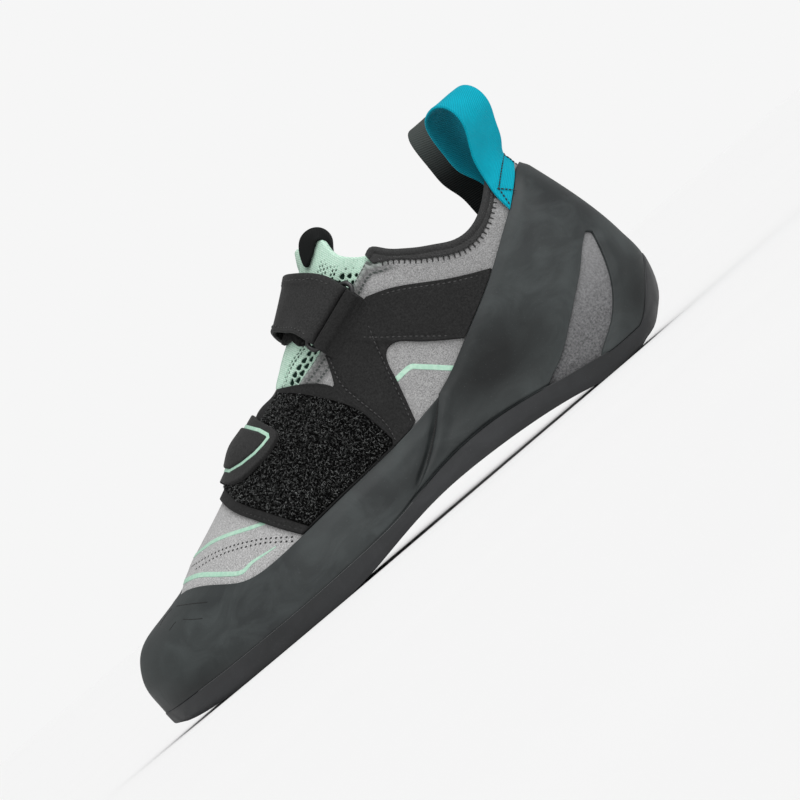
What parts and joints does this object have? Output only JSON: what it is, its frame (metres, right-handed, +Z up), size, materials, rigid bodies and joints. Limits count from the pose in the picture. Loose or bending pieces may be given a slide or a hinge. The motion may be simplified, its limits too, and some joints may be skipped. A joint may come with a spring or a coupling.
{
  "type": "climbing shoe",
  "caption": "Left climbing shoe: hollow suede upper, rubber toe and heel rands, thin arched sole, knit tongue, hook-and-loop straps and heel pull loops.",
  "frame": {"origin": "on the floor under the middle of the shoe's box", "axes": "+X from toe to heel, +Y from the outer side to the inner side, +Z up"},
  "size_m": [0.2404, 0.0896, 0.1143],
  "materials": {
    "sole_rubber": "matte moulded rubber",
    "rand_rubber": "matte sheet rubber",
    "suede": "grey suede nap",
    "knit": "open mint knit",
    "binding": "ribbed black binding",
    "black_webbing": "woven tape",
    "teal_webbing": "ribbed teal webbing",
    "loop_pile": "looped fastener pile",
    "strap_cloth": "black strap cloth",
    "microfibre": "matte black microfibre",
    "black_plastic": "satin black plastic",
    "lining": "flat lining cloth"
  },
  "bodies": {
    "root": {"outsole": "sole_rubber", "toe_rand": "rand_rubber", "heel_rand": "rand_rubber", "upper": "suede", "tongue": "knit", "collar_binding": "binding", "tongue_loop": "black_webbing", "heel_loop_inner": "black_webbing", "heel_loop_outer": "teal_webbing", "fastener_patch": "loop_pile", "lower_strap": "strap_cloth", "upper_strap": "strap_cloth", "strap_tab": "strap_cloth", "side_overlay_outer": "microfibre", "side_overlay_inner": "microfibre", "ring_keeper": "microfibre", "strap_ring": "black_plastic", "insole": "lining"}
  },
  "joints": []
}
